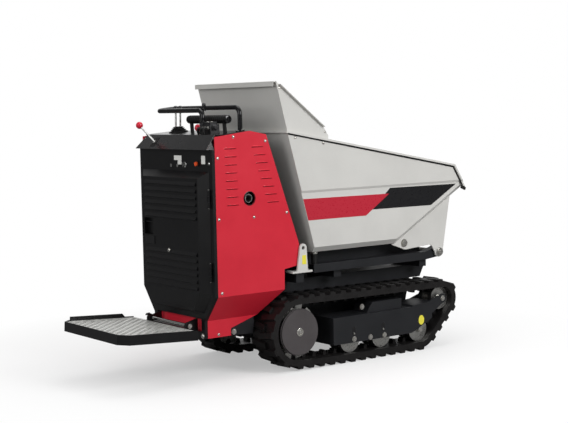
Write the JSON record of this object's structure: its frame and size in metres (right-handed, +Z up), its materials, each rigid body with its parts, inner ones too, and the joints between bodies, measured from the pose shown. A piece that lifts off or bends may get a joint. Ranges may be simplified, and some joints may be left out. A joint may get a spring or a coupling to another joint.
{
  "type": "tracked site dumper",
  "caption": "Small rubber-tracked site dumper: front-tipping open tub on a ram, upright rear engine console with louvred door and levers, and a fold-up standing platform.",
  "frame": {"origin": "on the ground under the middle of the machine's overall box", "axes": "+X forward over the tub's pouring lip, +Y to the machine's left, +Z up"},
  "size_m": [2.2615, 0.78, 1.5155],
  "materials": {
    "tub_paint": "satin light warm grey paint",
    "red_paint": "gloss red paint",
    "black_paint": "satin black powder coat",
    "chassis_paint": "satin charcoal paint",
    "belt_rubber": "matt black moulded rubber",
    "black_rubber": "matt black rubber",
    "roller_steel": "worn bright steel",
    "deck_steel": "galvanised pierced steel sheet",
    "bright_steel": "chromed and zinc plated steel",
    "engine_casting": "dark cast iron",
    "knob_plastic": "gloss black plastic",
    "red_plastic": "gloss red plastic"
  },
  "bodies": {
    "machine": {"chassis": "chassis_paint", "console_top": "black_paint", "drive_motors": "chassis_paint", "drive_sprocket_left": "roller_steel", "drive_sprocket_right": "roller_steel", "engine_block": "engine_casting", "exhaust_outlet": "roller_steel", "front_idler_left": "roller_steel", "front_idler_right": "roller_steel", "front_wall": "black_paint", "guard_rail": "black_paint", "hand_bar": "black_rubber", "hydraulic_valve": "engine_casting", "lever_boot": "black_rubber", "lever_grips": "knob_plastic", "lever_rods": "bright_steel", "lifting_eyes": "tub_paint", "lower_rear_panel": "red_paint", "platform_hinge": "black_paint", "ram_base_pin": "bright_steel", "rear_frame": "black_paint", "red_knobs": "red_plastic", "side_panel_left": "red_paint", "side_panel_right": "red_paint", "sprocket_shields": "chassis_paint", "tip_shaft": "bright_steel", "tip_subframe": "chassis_paint", "track_belt_left": "belt_rubber", "track_belt_right": "belt_rubber", "track_frame_left": "chassis_paint", "track_frame_right": "chassis_paint", "track_rollers_left": "roller_steel", "track_rollers_right": "roller_steel", "tub_buffers": "black_rubber"},
    "tub": {"tub_shell": "tub_paint", "tub_brackets": "tub_paint", "hopper_extension": "tub_paint"},
    "tip_barrel": {"ram_barrel": "chassis_paint"},
    "tip_rod": {"ram_rod": "bright_steel", "ram_eye_pin": "bright_steel"},
    "door": {"rear_door": "black_paint"},
    "platform": {"platform_frame": "black_paint", "platform_deck": "deck_steel"}
  },
  "joints": [
    {"name": "tub_tip", "type": "hinge", "parent": "machine", "child": "tub", "pos_m": [0.95, 0, 0.538], "axis": [0, 1, 0], "range_deg": [0, 75]},
    {"name": "ram_swing", "type": "hinge", "parent": "machine", "child": "tip_barrel", "pos_m": [0.02, 0, 0.49], "axis": [0, 1, 0], "range_deg": [-2.8, 0.5]},
    {"name": "ram_stroke", "type": "slide", "parent": "tip_barrel", "child": "tip_rod", "axis": [0.9899, 0, 0.1414], "range_m": [0, 0.141]},
    {"name": "door_swing", "type": "hinge", "parent": "machine", "child": "door", "pos_m": [-0.612, -0.322, 0.7], "axis": [0, 0, 1], "range_deg": [0, 105]},
    {"name": "platform_fold", "type": "hinge", "parent": "machine", "child": "platform", "pos_m": [-0.663, 0, 0.28], "axis": [0, 1, 0], "range_deg": [0, 86.5]}
  ],
  "couplings": [
    {"joint": "ram_swing", "follows": "tub_tip", "ratio": -0.024},
    {"joint": "ram_stroke", "follows": "tub_tip", "m_per_rad": 0.106}
  ]
}
